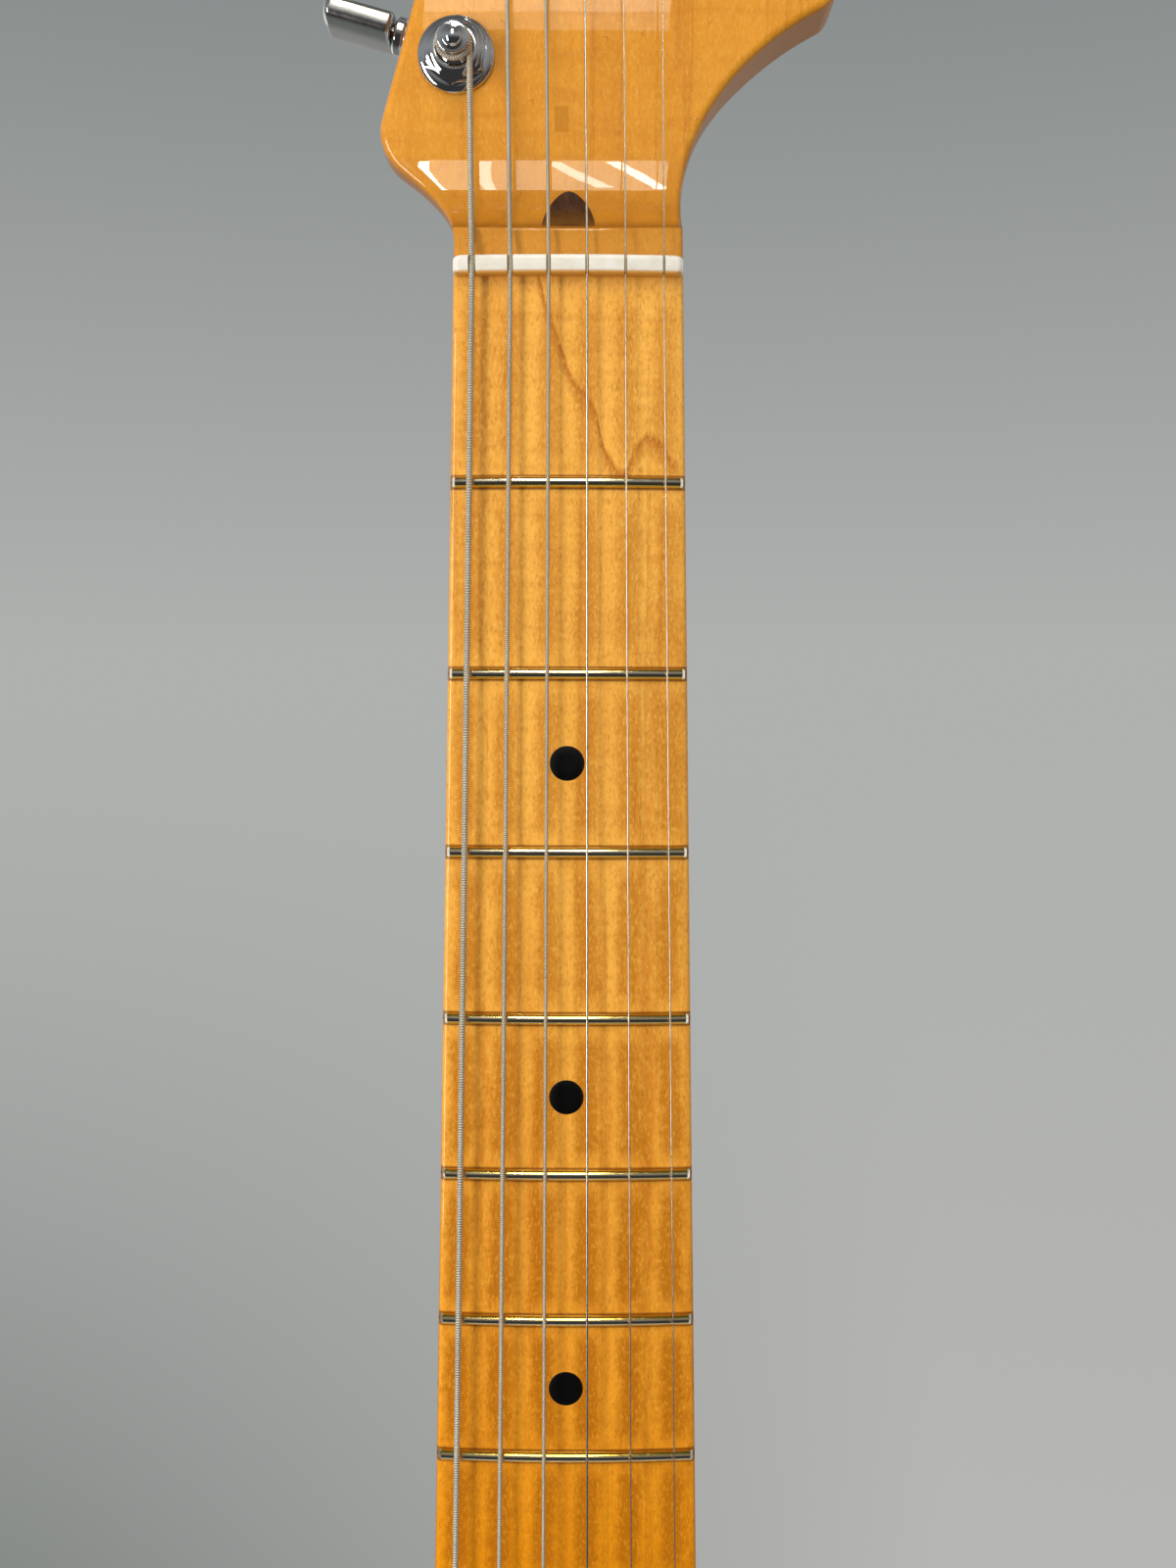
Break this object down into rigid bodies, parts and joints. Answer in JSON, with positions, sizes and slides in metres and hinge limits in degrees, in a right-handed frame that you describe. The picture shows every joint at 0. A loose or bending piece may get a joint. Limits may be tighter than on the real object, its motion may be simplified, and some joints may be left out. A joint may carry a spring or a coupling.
{
  "type": "electric guitar neck",
  "caption": "Bolt-on electric guitar neck with fretted fingerboard, nut, truss rod, headstock with tuners in line along the bass side, and strings wound on their posts.",
  "frame": {"origin": "centre of the four neck bolts, on the flat back of the heel", "axes": "+Z along the neck towards the headstock, -Y out of the fingerboard, -X to the bass side"},
  "size_m": [0.0975, 0.0441, 0.6614],
  "materials": {
    "maple": "amber tinted gloss lacquer on maple",
    "walnut": "dark walnut under lacquer",
    "bone": "polished bone",
    "inlay": "black, polished flush",
    "nickel": "polished nickel silver",
    "chrome": "polished",
    "satin": "satin chrome plate",
    "steel": "plain steel"
  },
  "bodies": {
    "neck": {"neck": "maple", "skunk_stripe": "walnut", "headstock_plug": "walnut", "nut": "bone", "fret_01": "nickel", "fret_02": "nickel", "fret_03": "nickel", "fret_04": "nickel", "fret_05": "nickel", "fret_06": "nickel", "fret_07": "nickel", "fret_08": "nickel", "fret_09": "nickel", "fret_10": "nickel", "fret_11": "nickel", "fret_12": "nickel", "fret_13": "nickel", "fret_14": "nickel", "fret_15": "nickel", "fret_16": "nickel", "fret_17": "nickel", "fret_18": "nickel", "fret_19": "nickel", "fret_20": "nickel", "fret_21": "nickel", "dot_03": "inlay", "dot_05": "inlay", "dot_07": "inlay", "dot_09": "inlay", "dot_12_bass": "inlay", "dot_12_treble": "inlay", "dot_15": "inlay", "dot_17": "inlay", "dot_19": "inlay", "truss_rod": "steel", "tuner_housing_1": "chrome", "tuner_housing_2": "chrome", "tuner_housing_3": "chrome", "tuner_housing_4": "chrome", "tuner_housing_5": "chrome", "tuner_housing_6": "chrome", "string_1": "steel", "string_2": "steel", "string_3": "steel", "string_4": "steel", "string_5": "steel", "string_6": "steel"},
    "truss_nut": {"truss_nut": "steel"},
    "post_1": {"tuner_post_1": "chrome"},
    "post_2": {"tuner_post_2": "chrome"},
    "post_3": {"tuner_post_3": "chrome"},
    "post_4": {"tuner_post_4": "chrome"},
    "post_5": {"tuner_post_5": "chrome"},
    "post_6": {"tuner_post_6": "chrome"},
    "button_1": {"tuner_button_1": "satin"},
    "button_2": {"tuner_button_2": "satin"},
    "button_3": {"tuner_button_3": "satin"},
    "button_4": {"tuner_button_4": "satin"},
    "button_5": {"tuner_button_5": "satin"},
    "button_6": {"tuner_button_6": "satin"}
  },
  "joints": [
    {"name": "truss_nut_turn", "type": "hinge", "parent": "neck", "child": "truss_nut", "pos_m": [0, -0.0158, -0.03], "axis": [0, 0, 1], "range_deg": [-180, 180]},
    {"name": "button_1_turn", "type": "hinge", "parent": "neck", "child": "button_1", "pos_m": [0.01545, 0.0066, 0.59808], "axis": [-0.9632, 0, 0.2689], "continuous": true},
    {"name": "button_2_turn", "type": "hinge", "parent": "neck", "child": "button_2", "pos_m": [0.00862, 0.0066, 0.57362], "axis": [-0.9632, 0, 0.2689], "continuous": true},
    {"name": "button_3_turn", "type": "hinge", "parent": "neck", "child": "button_3", "pos_m": [0.00179, 0.0066, 0.54915], "axis": [-0.9632, 0, 0.2689], "continuous": true},
    {"name": "button_4_turn", "type": "hinge", "parent": "neck", "child": "button_4", "pos_m": [-0.00504, 0.0066, 0.52469], "axis": [-0.9632, 0, 0.2689], "continuous": true},
    {"name": "button_5_turn", "type": "hinge", "parent": "neck", "child": "button_5", "pos_m": [-0.01187, 0.0066, 0.50022], "axis": [-0.9632, 0, 0.2689], "continuous": true},
    {"name": "button_6_turn", "type": "hinge", "parent": "neck", "child": "button_6", "pos_m": [-0.0187, 0.0066, 0.47576], "axis": [-0.9632, 0, 0.2689], "continuous": true},
    {"name": "post_1_turn", "type": "hinge", "parent": "neck", "child": "post_1", "pos_m": [0.01335, 0, 0.59057], "axis": [0, 1, 0], "continuous": true},
    {"name": "post_2_turn", "type": "hinge", "parent": "neck", "child": "post_2", "pos_m": [0.00652, 0, 0.5661], "axis": [0, 1, 0], "continuous": true},
    {"name": "post_3_turn", "type": "hinge", "parent": "neck", "child": "post_3", "pos_m": [-0.00031, 0, 0.54164], "axis": [0, 1, 0], "continuous": true},
    {"name": "post_4_turn", "type": "hinge", "parent": "neck", "child": "post_4", "pos_m": [-0.00714, 0, 0.51718], "axis": [0, 1, 0], "continuous": true},
    {"name": "post_5_turn", "type": "hinge", "parent": "neck", "child": "post_5", "pos_m": [-0.01397, 0, 0.49271], "axis": [0, 1, 0], "continuous": true},
    {"name": "post_6_turn", "type": "hinge", "parent": "neck", "child": "post_6", "pos_m": [-0.0208, 0, 0.46825], "axis": [0, 1, 0], "continuous": true}
  ],
  "couplings": [
    {"joint": "post_1_turn", "follows": "button_1_turn", "ratio": 0.071429},
    {"joint": "post_2_turn", "follows": "button_2_turn", "ratio": 0.071429},
    {"joint": "post_3_turn", "follows": "button_3_turn", "ratio": 0.071429},
    {"joint": "post_4_turn", "follows": "button_4_turn", "ratio": 0.071429},
    {"joint": "post_5_turn", "follows": "button_5_turn", "ratio": 0.071429},
    {"joint": "post_6_turn", "follows": "button_6_turn", "ratio": 0.071429}
  ]
}
